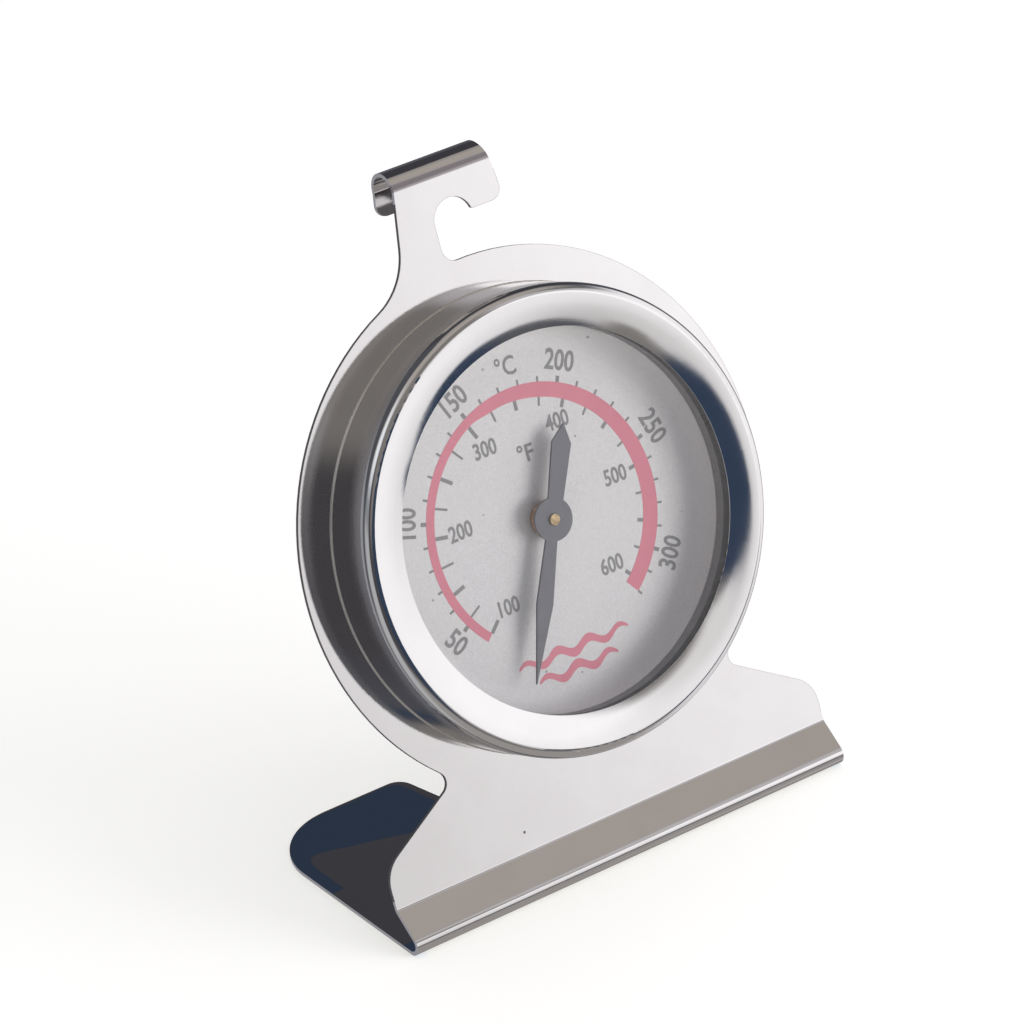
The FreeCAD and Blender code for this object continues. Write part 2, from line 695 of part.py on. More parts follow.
def write_nodes():
    """Write each piece to its own file, once every object in the document has been checked."""
    doc.recompute()
    for item in doc.Objects:
        if "Invalid" in item.State or "Error" in item.State:
            raise ValueError("%s failed: %s" % (item.Name, item.State))
    os.makedirs("parts", exist_ok=True)
    for name in NODES:
        shape = doc.getObjectsByLabel(name)[0].Shape
        if shape.isNull() or not shape.isValid():
            raise ValueError("%s has no sound shape" % name)
        shape.exportStep("parts/%s.step" % name)
        box = shape.BoundBox
        print("%-18s solids %d volume %9.2f  x %7.2f %7.2f  y %7.2f %7.2f  z %7.2f %7.2f" % (
            name, len(shape.Solids), shape.Volume, box.XMin, box.XMax, box.YMin, box.YMax,
            box.ZMin, box.ZMax))


make_stand()
make_case()
make_dial()
make_bridge()
make_bushes()
make_arbor()
make_coil()
make_pointer()
write_nodes()
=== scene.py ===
import json
import math

import bmesh
import bpy
from mathutils import Matrix, Vector


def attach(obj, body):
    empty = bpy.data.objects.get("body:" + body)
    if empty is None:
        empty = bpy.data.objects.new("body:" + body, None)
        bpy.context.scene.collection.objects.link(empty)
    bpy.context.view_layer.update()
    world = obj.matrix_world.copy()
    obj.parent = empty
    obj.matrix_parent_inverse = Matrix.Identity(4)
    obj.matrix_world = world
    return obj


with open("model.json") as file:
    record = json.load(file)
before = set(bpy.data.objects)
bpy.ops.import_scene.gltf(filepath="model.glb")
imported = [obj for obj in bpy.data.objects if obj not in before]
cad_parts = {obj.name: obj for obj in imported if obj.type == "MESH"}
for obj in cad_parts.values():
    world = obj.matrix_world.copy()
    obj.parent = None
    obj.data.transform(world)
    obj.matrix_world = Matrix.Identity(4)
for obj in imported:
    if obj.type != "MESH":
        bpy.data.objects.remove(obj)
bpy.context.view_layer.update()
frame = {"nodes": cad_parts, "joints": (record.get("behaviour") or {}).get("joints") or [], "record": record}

MM = 0.001
CASE = "case_and_stand"

# ---------------------------------------------------------------- the dial's own frame
# The pointer's joint gives the dial axis. Local x runs right, y up the plate, z out of the dial.
hinge = frame["joints"][0]
CENTRE = Vector(hinge["pos_m"])
LEAN = math.atan2(-hinge["axis"][2], hinge["axis"][1])
TILT = math.pi / 2 - LEAN
ON_PLATE = Matrix.Translation(CENTRE) @ Matrix.Rotation(TILT, 4, "X")
DIAL_FACE = 1.9          # mm in front of the plate's face

# ---------------------------------------------------------------- camera
CAMERA_AZIMUTH, CAMERA_ELEVATION, CAMERA_ROLL = -34.168, 28.91, -4.133
CAMERA_DISTANCE, CAMERA_CLIP = 0.669429, (0.05, 20.0)        # m
CAMERA_LENS, SENSOR_WIDTH = 192.632, 36.0                    # mm
CAMERA_TARGET = Vector((-0.014336, -0.012, 0.055987))


def direction(azimuth, elevation):
    """Unit vector away from the object. Azimuth 0 is the front, -Y, and 90 is +X."""
    a, e = math.radians(azimuth), math.radians(elevation)
    return Vector((math.sin(a) * math.cos(e), -math.cos(a) * math.cos(e), math.sin(e)))


def make_camera():
    data = bpy.data.cameras.new("camera")
    data.lens, data.sensor_width = CAMERA_LENS, SENSOR_WIDTH
    data.clip_start, data.clip_end = CAMERA_CLIP
    camera = bpy.data.objects.new("camera", data)
    bpy.context.scene.collection.objects.link(camera)
    back = direction(CAMERA_AZIMUTH, CAMERA_ELEVATION)
    turn = (-back).to_track_quat("-Z", "Y").to_matrix().to_4x4()
    roll = Matrix.Rotation(math.radians(CAMERA_ROLL), 4, "Z")
    camera.matrix_world = Matrix.Translation(CAMERA_TARGET + back * CAMERA_DISTANCE) @ turn @ roll
    bpy.context.scene.camera = camera


# ---------------------------------------------------------------- node helpers
class Tree:
    """A short way to build a shader: each call adds a node and gives back its output."""

    def __init__(self, owner):
        owner.use_nodes = True
        self.tree = owner.node_tree
        self.tree.nodes.clear()

    def node(self, kind, inputs=(), **settings):
        made = self.tree.nodes.new(kind)
        for name, setting in settings.items():
            setattr(made, name, setting)
        for socket, given in dict(inputs).items():
            self.put(made.inputs[socket], given)
        return made

    def put(self, socket, given):
        if isinstance(given, bpy.types.NodeSocket):
            self.tree.links.new(given, socket)
        else:
            socket.default_value = given

    def math(self, operation, a, b=0.0, c=0.0, clamp=False):
        made = self.node("ShaderNodeMath", {0: a, 1: b, 2: c}, operation=operation)
        made.use_clamp = clamp
        return made.outputs[0]

    def step(self, given, start, end, low=0.0, high=1.0):
        """Goes smoothly from low to high as the input goes from start to end."""
        made = self.node("ShaderNodeMapRange", {"Value": given, "From Min": start, "From Max": end,
                                                "To Min": low, "To Max": high},
                         interpolation_type="SMOOTHSTEP")
        return made.outputs[0]

    def between(self, given, low, high):
        """1 where the input is between low and high, 0 elsewhere."""
        return self.math("MULTIPLY", self.math("GREATER_THAN", given, low),
                         self.math("LESS_THAN", given, high))

    def mix(self, factor, a, b):
        made = self.node("ShaderNodeMix", {0: factor, 6: a, 7: b}, data_type="RGBA")
        return made.outputs[2]

    def noise(self, where, scale, detail=2.0, roughness=0.5, warp=0.0):
        made = self.node("ShaderNodeTexNoise", {
            "Vector": where, "Scale": scale, "Detail": detail, "Roughness": roughness,
            "Distortion": warp})
        return made.outputs["Fac"]

    def stretch(self, where, x, y, z):
        return self.node("ShaderNodeVectorMath", {0: where, 1: (x, y, z)},
                         operation="MULTIPLY").outputs[0]

    def specks(self, where, spacing, size, share):
        """1 inside small scattered dots, 0 elsewhere."""
        cells = self.node("ShaderNodeTexVoronoi", {"Vector": where, "Scale": 1.0 / spacing,
                                                   "Randomness": 1.0})
        pick = self.node("ShaderNodeSeparateColor", {0: cells.outputs["Color"]}).outputs[0]
        edge = self.math("MULTIPLY", self.step(pick, 1.0 - share, 1.0, 0.25, 1.0), size / spacing)
        inside = self.math("LESS_THAN", cells.outputs["Distance"], edge)
        return self.math("MULTIPLY", inside, self.math("GREATER_THAN", pick, 1.0 - share))

    def dial_place(self):
        """Where the point is in the dial's own frame, in millimetres."""
        made = self.node("ShaderNodeMapping", {
            "Vector": self.node("ShaderNodeTexCoord").outputs["Object"],
            "Location": CENTRE, "Rotation": (TILT, 0.0, 0.0), "Scale": (MM, MM, MM)},
            vector_type="TEXTURE")
        return made.outputs[0]

    def polar(self, place):
        """(radius, turn, depth) as a vector, for grain that runs round the dial axis."""
        x, y, z = self.node("ShaderNodeSeparateXYZ", {0: place}).outputs
        radius = self.math("SQRT", self.math("ADD", self.math("MULTIPLY", x, x),
                                             self.math("MULTIPLY", y, y)))
        turn = self.math("ARCTAN2", y, x)
        made = self.node("ShaderNodeCombineXYZ", {0: radius, 1: turn, 2: z})
        return made.outputs[0]

    def bump(self, height, strength, distance):
        made = self.node("ShaderNodeBump", {"Height": height, "Strength": strength,
                                            "Distance": distance})
        return made.outputs[0]

    def surface(self, color, roughness, metallic=0.0, normal=None, **fixed):
        inputs = {"Base Color": color, "Roughness": roughness, "Metallic": metallic}
        if normal is not None:
            inputs["Normal"] = normal
        inputs.update({name.replace("_", " "): given for name, given in fixed.items()})
        shader = self.node("ShaderNodeBsdfPrincipled", inputs)
        self.node("ShaderNodeOutputMaterial", {0: shader.outputs[0]})


def grey(level, tint=(1.0, 1.0, 1.0)):
    return tuple(level * part for part in tint) + (1.0,)


# ---------------------------------------------------------------- materials
STEEL_RELIEF, RELIEF = 0.00002, 0.00003                         # height of the bumps, in m
DUST, DUST_SPACING, DUST_SIZE = grey(0.12), 3.4, 0.20            # colour, then mm
# The navy on the foot is a painted reflection, and the dark grey on the cut edges is painted shade.
FOOT_REFLECTION_TINT, CUT_EDGE_SHADE = (0.43, 0.66, 0.98, 1.0), (0.20, 0.19, 0.195, 1.0)
# Painted shade at the start of the hook's bend.
FOLD_SHADE = (0.40, 0.375, 0.39, 1.0)
TORN, PRESSED, SCUFFED, WORN = 0.25, 0.12, 0.24, 0.05           # roughness that is added

# Where the marks on the plate and the bezel begin and end, in mm in the dial's own frame.
FOLD_BEGINS, FOLD_ENDS, FOLD_BACK = (45.35, 45.55), (46.5, 46.25), -1.0
PLATE_DEPTH, PLATE_RISE = (-0.6, 0.1), (-39.0, 44.0)
SCUFF_RISE, BEAD_BELOW, BEAD_ABOVE = (3.4, 6.4), (7.3, 7.0), (7.0, 7.3)
SKIRT_SIDE, SHOULDER_SIDE = (29.4, 29.8), (28.7, 29.3)
BURR, BURR_SHADE = 0.15 * MM, 0.75       # m in from the edge, and how much of the painted edge shade
ON_CUT, ON_BURR = (0.6, 0.3), (0.985, 0.93)                     # cosines between two normals

# Where the navy reflection is painted on the foot, in mm on the table: the front edge as a slope and a
# start, the strip along the side, the rounded corner, the side of the recess, and the patch at the end of
# the front bend.
TINT_FRONT_EDGE, TINT_SIDE, TINT_SOFT = (0.33, 4.7), (32.4, 5.6), 0.12
TINT_CORNER, TINT_CORNER_RADIUS = (24.4, 12.3), 9.9
TINT_RECESS, TINT_PATCH = (0.194, 8.44), (32.6, -10.2)
TINT_TOP, TINT_LEVEL = (1.2, 0.9), (0.5, 0.8)                   # height, and the normal's rise


def steel(name, light, dark, rough, rough_spread, grain, grain_depth, dust, marks=None):
    """Steel with a fine grain, along X or round the dial's axis, faint handling marks and a little
    dust. The marks of one piece change its colour and give the roughness that they add."""
    mat = bpy.data.materials.new(name)
    t = Tree(mat)
    place = t.dial_place()
    along = t.polar(place) if grain == "round" else place
    stretch = (14.0, 1.2, 9.0) if grain == "round" else (1.1, 16.0, 16.0)
    fine = t.noise(t.stretch(along, *stretch), 1.0, 3.0, 0.6)
    cloud = t.noise(place, 0.16, 3.0, 0.55, 0.4)
    handling = t.noise(t.stretch(place, 0.5, 4.0, 4.0), 0.7, 4.0, 0.7, 1.5)
    tone = t.math("ADD", t.math("MULTIPLY", fine, 0.35), t.math("MULTIPLY", cloud, 0.65))
    color, dulled = t.mix(t.step(tone, 0.3, 0.7), dark, light), 0.0
    if marks:
        color, dulled = marks(t, place, color)
    spots = t.specks(place, DUST_SPACING, DUST_SIZE, dust)
    color = t.mix(t.math("MULTIPLY", spots, 0.75), color, DUST)
    roughness = t.math("ADD", t.step(tone, 0.25, 0.75, rough, rough + rough_spread),
                       t.math("MULTIPLY", t.step(handling, 0.56, 0.74), rough_spread))
    roughness = t.math("ADD", t.math("ADD", roughness, dulled), t.math("MULTIPLY", spots, 0.4),
                       clamp=True)
    t.surface(color, roughness, 1.0, t.bump(fine, grain_depth, STEEL_RELIEF))
    return mat


def stand_marks(t, place, color):
    """Painted navy reflection on the foot, and painted shade on the torn cut edges and at the hook's bend,
    both rougher.
    """
    edge, dulled_fold_shade = sheared_edge(t, place), fold_mark(t, place)
    # Painted navy reflection on the foot.
    color = t.mix(heat_tint(t), color, FOOT_REFLECTION_TINT)
    # Painted shade: dark grey on the cut edges and their burr, and a darker grey at the hook's bend.
    color = t.mix(dulled_fold_shade, t.mix(edge, color, CUT_EDGE_SHADE), FOLD_SHADE)
    return color, t.math("MULTIPLY_ADD", edge, TORN, t.math("MULTIPLY", dulled_fold_shade, PRESSED))


def fold_mark(t, place):
    """1 along the start of the hook's bend, where shade is painted on as a darker grey and the sheet is
    rougher.
    """
    up, out = t.node("ShaderNodeSeparateXYZ", {0: place}).outputs[1:]
    mark = t.math("MULTIPLY", t.step(up, *FOLD_BEGINS), t.step(up, *FOLD_ENDS))
    return t.math("MULTIPLY", mark, t.math("GREATER_THAN", out, FOLD_BACK))


def sheared_edge(t, place):
    """1 on the cut edge of the leaning plate, where the metal is torn and rougher, and part of it on the
    burr that rims the plate's faces. The dark grey laid on both is painted shade."""
    def along_normal(way):
        return t.node("ShaderNodeVectorMath", {0: flat, 1: way},
                      operation="DOT_PRODUCT").outputs["Value"]

    flat = t.node("ShaderNodeNewGeometry").outputs["True Normal"]
    rounded = t.node("ShaderNodeBevel", {"Radius": BURR}, samples=6).outputs[0]
    up, out = t.node("ShaderNodeSeparateXYZ", {0: place}).outputs[1:]
    on_plate = t.math("MULTIPLY", t.between(out, *PLATE_DEPTH), t.between(up, *PLATE_RISE))
    facing = t.math("ABSOLUTE", along_normal(ON_PLATE.to_3x3() @ Vector((0, 0, 1))))
    cut = t.step(facing, *ON_CUT)
    burr = t.math("MULTIPLY", t.step(along_normal(rounded), *ON_BURR), BURR_SHADE)
    return t.math("MULTIPLY", on_plate, t.math("MAXIMUM", cut, burr))


def heat_tint(t):
    """1 where a navy reflection is painted on the foot plate: its rear part, short of the rim, and a patch
    at each end of the front bend. Both sides are alike, and x and y are in millimetres on the table."""
    def inside(depth):
        return t.step(depth, -TINT_SOFT, TINT_SOFT)

    where = t.stretch(t.node("ShaderNodeTexCoord").outputs["Object"], 1 / MM, 1 / MM, 1 / MM)
    x, y, z = t.node("ShaderNodeSeparateXYZ", {0: where}).outputs
    normal = t.node("ShaderNodeNewGeometry").outputs["True Normal"]
    upright = t.math("ABSOLUTE", t.node("ShaderNodeSeparateXYZ", {0: normal}).outputs[2])
    wander = t.math("MULTIPLY_ADD", t.noise(where, 0.25, 2.0, 0.5), 0.8, -0.4)
    x = t.math("ABSOLUTE", x)
    y = t.math("ADD", y, wander)
    behind = t.math("SUBTRACT", y, t.math("MULTIPLY_ADD", x, *TINT_FRONT_EDGE))
    outside = t.math("MINIMUM", t.math("SUBTRACT", x, TINT_SIDE[0]),
                     t.math("SUBTRACT", y, TINT_SIDE[1]))
    rear = inside(t.math("SMOOTH_MAX", behind, outside, 5.0))
    past_x = t.math("MAXIMUM", t.math("SUBTRACT", x, TINT_CORNER[0]), 0.0)
    past_y = t.math("MAXIMUM", t.math("SUBTRACT", y, TINT_CORNER[1]), 0.0)
    past = t.math("SQRT", t.math("ADD", t.math("MULTIPLY", past_x, past_x),
                                 t.math("MULTIPLY", past_y, past_y)))
    recess = t.math("SUBTRACT", x, t.math("MULTIPLY_ADD", y, *TINT_RECESS))
    rim = inside(t.math("SMOOTH_MIN", t.math("SUBTRACT", TINT_CORNER_RADIUS, past), recess, 2.4))
    front = inside(t.math("MINIMUM", t.math("SUBTRACT", x, TINT_PATCH[0]),
                          t.math("SUBTRACT", TINT_PATCH[1], y)))
    reflected_navy = t.math("MAXIMUM", t.math("MULTIPLY", rear, rim), front)
    reflected_navy = t.math("MULTIPLY", reflected_navy, t.step(z, *TINT_TOP))
    return t.math("MULTIPLY", reflected_navy, t.step(upright, *TINT_LEVEL))


def skirt_marks(t, place, color):
    """The bezel is rougher where its skirt is scuffed below its bead, and a little over its shoulder."""
    around = t.node("ShaderNodeSeparateXYZ", {0: t.polar(place)}).outputs
    radius, depth = around["X"], around["Z"]
    below = t.math("MULTIPLY", t.step(depth, *SCUFF_RISE), t.step(depth, *BEAD_BELOW))
    skirt = t.math("MULTIPLY", below, t.step(radius, *SKIRT_SIDE))
    shoulder = t.math("MULTIPLY", t.step(depth, *BEAD_ABOVE), t.step(radius, *SHOULDER_SIDE))
    return color, t.math("MULTIPLY_ADD", skirt, SCUFFED, t.math("MULTIPLY", shoulder, WORN))


def glass():
    """Clear flat glass with a faint, patchy film of fingermarks. Only its outer sides mirror."""
    mat = bpy.data.materials.new("clear_glass")
    t = Tree(mat)
    place = t.dial_place()
    film = t.step(t.noise(place, 0.22, 4.0, 0.6, 0.8), 0.42, 0.72)
    roughness = t.math("MULTIPLY_ADD", film, 0.10, 0.02)
    clear = t.node("ShaderNodeBsdfTransparent", {0: (0.985, 0.99, 0.99, 1.0)}).outputs[0]
    shine = t.node("ShaderNodeBsdfGlossy", {"Color": (1.0, 1.0, 1.0, 1.0),
                                            "Roughness": roughness}).outputs[0]
    fresnel = t.node("ShaderNodeFresnel", {"IOR": 1.5}).outputs[0]
    behind = t.node("ShaderNodeNewGeometry").outputs["Backfacing"]
    share = t.math("MULTIPLY", fresnel, t.math("SUBTRACT", 1.0, behind))
    made = t.node("ShaderNodeMixShader", {0: share, 1: clear, 2: shine})
    t.node("ShaderNodeOutputMaterial", {0: made.outputs[0]})
    return mat


ENAMEL_DARK, ENAMEL_LIGHT = (0.508, 0.490, 0.490, 1.0), (0.625, 0.608, 0.608, 1.0)
ENAMEL_CLOUD = (0.60, 0.585, 0.57, 1.0)


def enamel():
    """The dial's satin light grey, finely speckled, with a few specks of dust under the glass."""
    mat = bpy.data.materials.new("dial_enamel")
    t = Tree(mat)
    place = t.dial_place()
    speckle = t.noise(place, 5.5, 3.0, 0.7)
    cloud = t.noise(place, 0.12, 2.0, 0.5)
    color = t.mix(t.step(speckle, 0.3, 0.7), ENAMEL_DARK, ENAMEL_LIGHT)
    color = t.mix(t.step(cloud, 0.3, 0.7, 0.0, 0.25), color, ENAMEL_CLOUD)
    color = t.mix(t.math("MULTIPLY", t.specks(place, 2.6, 0.24, 0.35), 0.65), color, grey(0.10))
    t.surface(color, t.step(speckle, 0.2, 0.8, 0.42, 0.58), 0.0, t.bump(speckle, 0.25, RELIEF))
    return mat


def coated(name, light, dark, rough, grain=3.0, depth=0.2):
    """Paint or ink: a fine mottle in colour and gloss with a matching bump."""
    mat = bpy.data.materials.new(name)
    t = Tree(mat)
    place = t.dial_place()
    fine = t.noise(place, grain, 4.0, 0.6)
    broad = t.noise(place, grain * 0.12, 2.0, 0.5, 0.5)
    tone = t.math("ADD", t.math("MULTIPLY", fine, 0.6), t.math("MULTIPLY", broad, 0.4))
    color = t.mix(t.step(tone, 0.32, 0.68), dark, light)
    t.surface(color, t.step(tone, 0.2, 0.8, rough - 0.07, rough + 0.07), 0.0,
              t.bump(fine, depth, RELIEF))
    return mat


def turned_metal(name, light, dark, rough):
    """Lathe-turned brass or copper, with rings about the dial axis and a little tarnish."""
    mat = bpy.data.materials.new(name)
    t = Tree(mat)
    place = t.dial_place()
    rings = t.noise(t.stretch(t.polar(place), 22.0, 0.4, 22.0), 1.0, 2.0, 0.5)
    tarnish = t.noise(place, 1.1, 4.0, 0.6, 0.6)
    color = t.mix(t.step(tarnish, 0.35, 0.7), light, dark)
    t.surface(color, t.step(tarnish, 0.3, 0.75, rough, rough + 0.2), 1.0,
              t.bump(rings, 0.35, RELIEF))
    return mat


def floor_material():
    mat = bpy.data.materials.new("pale_floor")
    t = Tree(mat)
    place = t.node("ShaderNodeTexCoord").outputs["Object"]
    mottle = t.noise(place, 3.0, 3.0, 0.5)
    color = t.mix(mottle, (0.90, 0.90, 0.90, 1.0), (0.92, 0.92, 0.92, 1.0))
    t.surface(color, t.step(mottle, 0.2, 0.8, 0.75, 0.9), 0.0,
              Emission_Color=(1.0, 0.995, 0.90, 1.0), Emission_Strength=FLOOR_GLOW)
    return mat


def set_materials():
    chosen = {
        "polished_steel": steel("polished_steel", grey(0.835, (1.0, 0.99, 0.995)),
                                grey(0.80, (1.0, 0.985, 0.99)), 0.05, 0.02, "rolled", 0.05, 0.10,
                                stand_marks),
        "can_steel": steel("can_steel", grey(0.42, (1.0, 0.98, 0.96)), grey(0.36, (1.0, 0.975, 0.95)),
                           0.13, 0.06, "round", 0.2, 0.08),
        "rivet_steel": steel("rivet_steel", grey(0.68), grey(0.56), 0.28, 0.10, "rolled", 0.3, 0.1),
        "bezel_steel": steel("bezel_steel", grey(0.84, (1.0, 0.995, 1.0)),
                             grey(0.81, (1.0, 0.99, 0.995)), 0.06, 0.03, "round", 0.06, 0.08,
                             skirt_marks),
        "clear_glass": glass(),
        "dark_spacer": coated("dark_spacer", (0.20, 0.197, 0.20, 1.0),
                              (0.14, 0.137, 0.14, 1.0), 0.5),
        "dial_enamel": enamel(),
        "brass": turned_metal("brass", (0.82, 0.62, 0.38, 1.0), (0.55, 0.38, 0.20, 1.0), 0.26),
        "bimetal": steel("bimetal", grey(0.55, (1.0, 0.88, 0.72)), grey(0.45, (1.0, 0.86, 0.70)),
                         0.28, 0.12, "rolled", 0.3, 0.02),
        "pointer_enamel": coated("pointer_enamel", (0.142, 0.141, 0.158, 1.0),
                                 (0.118, 0.117, 0.132, 1.0), 0.42, 4.0, 0.25),
        "copper_boss": turned_metal("copper_boss", (0.62, 0.38, 0.25, 1.0),
                                    (0.42, 0.25, 0.16, 1.0), 0.32),
    }
    for part in frame["record"]["subparts"]:
        node = frame["nodes"][part["node"]]
        if not node.data.materials:
            node.data.materials.append(None)
        for slot in node.material_slots:
            slot.material = chosen[part["material_slot"]]


# ---------------------------------------------------------------- the dial's print
C_LOW, C_HIGH, C_ZERO, C_STEP = 50, 320, -170.8, 0.976      # degrees Celsius, degrees of turn
F_LOW, F_HIGH, F_ZERO, F_STEP = 100, 600, -188.47, 0.5426
BAND_OUTER = 17.36       # mm from the dial's axis, as are the radii below
BAND_INNER = [(-134.3, 16.15), (-25, 16.15), (-12, 15.7), (16, 15.42), (42, 15.3), (80, 15.15),
              (141, 15.15)]      # degrees of turn, radius
INK = 0.03               # mm of ink
RED_INK = (0.585, 0.200, 0.252, 1.0), (0.54, 0.180, 0.228, 1.0)        # light, dark
GREY_INK = (0.235, 0.228, 0.232, 1.0), (0.20, 0.194, 0.197, 1.0)
C_TIP, C_WIDE_TIP, F_TIP = 18.05, 18.15, 14.3
C_WIDE, F_WIDE, FINE = 0.52, 0.50, 0.30                     # mm across a tick
C_EVERY, F_EVERY, WIDE_EVERY = 10, 25, 50                   # degrees between ticks
TEXT_C_RADIUS, TEXT_C_HEIGHT, TEXT_F_HEIGHT = 20.03, 2.7, 2.15
CAPITAL = 0.73           # height of a numeral in the program's own font, as a share of its size
F_NUMERALS = {100: (-8.4, -9.0), 200: (-12.1, 2.4), 300: (-5.6, 11.1), 400: (5.7, 11.1),
              500: (11.9, 1.6), 600: (8.0, -9.1)}           # middles, in mm
UNITS = [("°C", 2.5, (0.4, 19.95), 0.85, 0.016),            # height, middle, width, weight
         ("°F", 2.25, (-0.05, 8.6), 0.95, 0.020)]


def angle_c(degrees):
    return C_ZERO + C_STEP * degrees


def angle_f(degrees):
    return F_ZERO + F_STEP * degrees


def on_dial(turn, radius):
    """(x, y) at a turn clockwise from the top, in degrees."""
    return radius * math.sin(math.radians(turn)), radius * math.cos(math.radians(turn))


def band_inner(turn):
    for (t0, r0), (t1, r1) in zip(BAND_INNER, BAND_INNER[1:]):
        if turn <= t1:
            part = (turn - t0) / (t1 - t0)
            return r0 + (r1 - r0) * part * part * (3 - 2 * part)
    return BAND_INNER[-1][1]


def ink_solid(mesh, outline):
    """Add a thin closed slab of ink over an outline of (x, y) points."""
    low = [mesh.verts.new((x, y, 0.0)) for x, y in outline]
    high = [mesh.verts.new((x, y, INK)) for x, y in outline]
    mesh.faces.new(high)
    mesh.faces.new(low[::-1])
    for i in range(len(outline)):
        j = (i + 1) % len(outline)
        mesh.faces.new((low[i], low[j], high[j], high[i]))


def finish_piece(name, mesh, mat, height):
    """Turn a mesh drawn in the dial's own frame into a piece that rides on the case."""
    bmesh.ops.recalc_face_normals(mesh, faces=mesh.faces)
    mesh.transform(ON_PLATE @ Matrix.Translation((0, 0, height * MM)) @ Matrix.Scale(MM, 4))
    data = bpy.data.meshes.new(name)
    mesh.to_mesh(data)
    mesh.free()
    piece = bpy.data.objects.new(name, data)
    bpy.context.scene.collection.objects.link(piece)
    data.materials.append(mat)
    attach(piece, CASE)


def finish_print(name, mesh, mat):
    """Put ink drawn in millimetres on the dial's face, sunk a little so that it has no gap."""
    finish_piece(name, mesh, mat, DIAL_FACE - INK / 6)


def ink_strip(mesh, sides):
    """Add one closed slab of ink between two edges, given as (one side, other side) points."""
    ring = [[mesh.verts.new((*a, 0.0)), mesh.verts.new((*b, 0.0)), mesh.verts.new((*b, INK)),
             mesh.verts.new((*a, INK))] for a, b in sides]
    for a, b in zip(ring, ring[1:]):
        for k in range(4):
            mesh.faces.new((a[k], a[(k + 1) % 4], b[(k + 1) % 4], b[k]))
    mesh.faces.new(ring[0][::-1])
    mesh.faces.new(ring[-1])


def make_band(mat):
    mesh = bmesh.new()
    start, end, parts = angle_f(F_LOW), angle_c(C_HIGH), 240
    turns = [start + (end - start) * i / parts for i in range(parts + 1)]
    ink_strip(mesh, [(on_dial(turn, band_inner(turn)), on_dial(turn, BAND_OUTER)) for turn in turns])
    finish_print("dial_red_arc", mesh, mat)


def add_tick(mesh, turn, inner, outer, width):
    ax, ay = on_dial(turn, inner)
    bx, by = on_dial(turn, outer)
    sx, sy = on_dial(turn + 90, width / 2)
    ink_solid(mesh, [(ax - sx, ay - sy), (bx - sx, by - sy), (bx + sx, by + sy),
                     (ax + sx, ay + sy)])


def make_ticks(mat):
    mesh = bmesh.new()
    for degrees in range(C_LOW, C_HIGH + 1, C_EVERY):
        wide = degrees % WIDE_EVERY == 0
        add_tick(mesh, angle_c(degrees), BAND_OUTER, C_WIDE_TIP if wide else C_TIP,
                 C_WIDE if wide else FINE)
    for degrees in range(F_LOW, F_HIGH + 1, F_EVERY):
        turn = angle_f(degrees)
        add_tick(mesh, turn, F_TIP, band_inner(turn), F_WIDE if degrees % WIDE_EVERY == 0 else FINE)
    finish_print("dial_ticks", mesh, mat)


def add_text(mesh, words, height, at, turn, width=0.80, weight=0.022):
    """Set words in the program's own font, bold and narrow, as thin slabs of ink."""
    font = bpy.data.curves.new("words", "FONT")
    font.body, font.align_x, font.align_y = words, "CENTER", "CENTER"
    font.offset, font.extrude, font.resolution_u = weight, 0.5, 3
    holder = bpy.data.objects.new("words", font)
    bpy.context.scene.collection.objects.link(holder)
    bpy.context.view_layer.update()
    data = bpy.data.meshes.new_from_object(holder.evaluated_get(
        bpy.context.evaluated_depsgraph_get()))
    tall = height / CAPITAL
    data.transform(Matrix.Translation((*at, INK / 2)) @ Matrix.Rotation(-math.radians(turn), 4, "Z")
                   @ Matrix.Diagonal((tall * width, tall, INK, 1.0)))
    mesh.from_mesh(data)
    bpy.data.objects.remove(holder)
    bpy.data.meshes.remove(data)


def make_numerals(mat):
    mesh = bmesh.new()
    for degrees in range(C_LOW, C_HIGH, WIDE_EVERY):
        turn = angle_c(degrees)
        flip = 180.0 if abs(turn) > 105 else 0.0
        add_text(mesh, str(degrees), TEXT_C_HEIGHT, on_dial(turn, TEXT_C_RADIUS), turn + flip)
    for degrees, spot in F_NUMERALS.items():
        add_text(mesh, str(degrees), TEXT_F_HEIGHT, spot, 0.0)
    for words, height, spot, width, weight in UNITS:
        add_text(mesh, words, height, spot, 0.0, width, weight)
    bmesh.ops.remove_doubles(mesh, verts=mesh.verts, dist=0.0005)
    finish_print("dial_numerals", mesh, mat)


SKIRT_EDGE_RADIUS, SKIRT_EDGE, SKIRT_EDGE_HEIGHT = 30.0, 0.10, 0.13      # mm
WAVE_LENGTH, WAVE_TURNS, WAVE_SWING = 17.2, 3.5, 0.55          # mm, count, mm
WAVE_WIDTH, WAVE_END = 1.2, 0.25                       # mm, and the ends' share of it
WAVES = [(-0.6, -17.2, 1.0), (-0.6, -19.8, 0.72)]      # middle x, middle y, share of the length


def make_waves(mat):
    """Two plain heat waves, low on the dial, tapered to their ends."""
    mesh = bmesh.new()
    parts = 72
    for middle_x, middle_y, share in WAVES:
        sides = []
        for i in range(parts + 1):
            part = i / parts
            x = middle_x + (part - 0.5) * WAVE_LENGTH * share
            y = middle_y + WAVE_SWING * math.sin(2 * math.pi * WAVE_TURNS * share * part)
            half = WAVE_WIDTH / 2 * (WAVE_END + (1 - WAVE_END) * math.sin(math.pi * part) ** 0.6)
            sides.append(((x, y + half), (x, y - half)))
        ink_strip(mesh, sides)
    finish_print("dial_heat_waves", mesh, mat)


